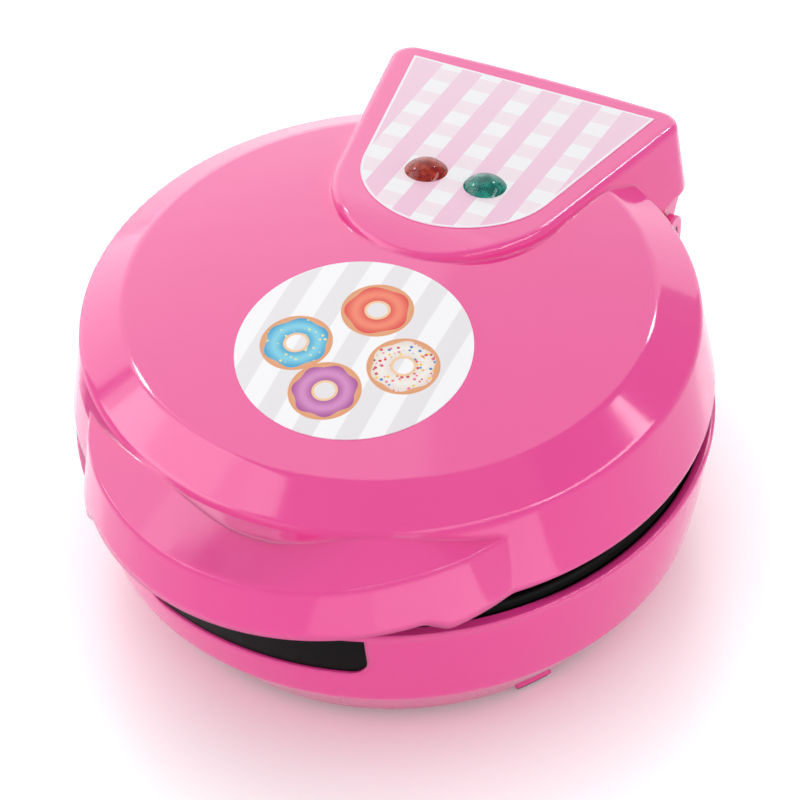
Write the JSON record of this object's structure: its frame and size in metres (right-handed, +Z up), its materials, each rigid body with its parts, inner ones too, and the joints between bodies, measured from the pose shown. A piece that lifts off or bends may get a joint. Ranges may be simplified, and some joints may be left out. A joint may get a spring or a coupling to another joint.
{
  "type": "cake pop maker",
  "caption": "Round countertop cooker with a domed hinged lid, lip handle, rear lamp panel and cooking plates with ball-shaped cavities.",
  "frame": {"origin": "on the worktop under the middle of the appliance's bounding box, with the lid closed", "axes": "+Z up, -Y towards the user (lip handle), +Y towards the hinge, +X to the user's right"},
  "size_m": [0.2204, 0.2632, 0.1258],
  "materials": {
    "pink_gloss": "glossy moulded plastic",
    "black_plastic": "satin moulded plastic",
    "pale_plastic": "matte",
    "pale_sticker": "printed film",
    "striped_sticker": "printed film",
    "red_lens": "clear tinted plastic",
    "green_lens": "clear tinted plastic",
    "neon_glass": "clear",
    "nonstick_aluminium": "dark non-stick coating",
    "heater_steel": "heater tube",
    "shield_steel": "rolled sheet",
    "pin_steel": "zinc plated",
    "grey_rubber": "soft matte",
    "lead_sleeve": "woven glass sleeve"
  },
  "bodies": {
    "base": {"base_shell": "pink_gloss", "front_insert": "black_plastic", "base_inner_frame": "black_plastic", "lower_plate": "nonstick_aluminium", "lower_element": "heater_steel", "lower_heat_shield": "shield_steel", "thermostat": "pale_plastic", "thermal_fuse": "heater_steel", "terminal_block": "pale_plastic", "base_leads": "lead_sleeve", "cord_gland": "black_plastic", "bottom_cover": "black_plastic", "foot_pads": "grey_rubber", "hinge_pin_left": "pin_steel", "hinge_pin_right": "pin_steel", "base_frame_screws": "pin_steel", "lower_plate_screws": "pin_steel", "bottom_cover_screws": "pin_steel"},
    "lid": {"lid_shell": "pink_gloss", "tongue_cover": "black_plastic", "lid_inner_frame": "black_plastic", "round_label": "pale_sticker", "panel_label": "striped_sticker", "lamp_lens_red": "red_lens", "lamp_lens_green": "green_lens", "lamp_holder": "black_plastic", "neon_lamps": "neon_glass", "lid_leads": "lead_sleeve", "upper_plate": "nonstick_aluminium", "upper_element": "heater_steel", "upper_heat_shield": "shield_steel", "lid_frame_screws": "pin_steel", "tongue_cover_screws": "pin_steel", "upper_plate_screws": "pin_steel"}
  },
  "joints": [
    {"name": "lid_hinge", "type": "hinge", "parent": "base", "child": "lid", "pos_m": [0, 0.106, 0.0735], "axis": [-1, 0, 0], "range_deg": [0, 100]}
  ]
}
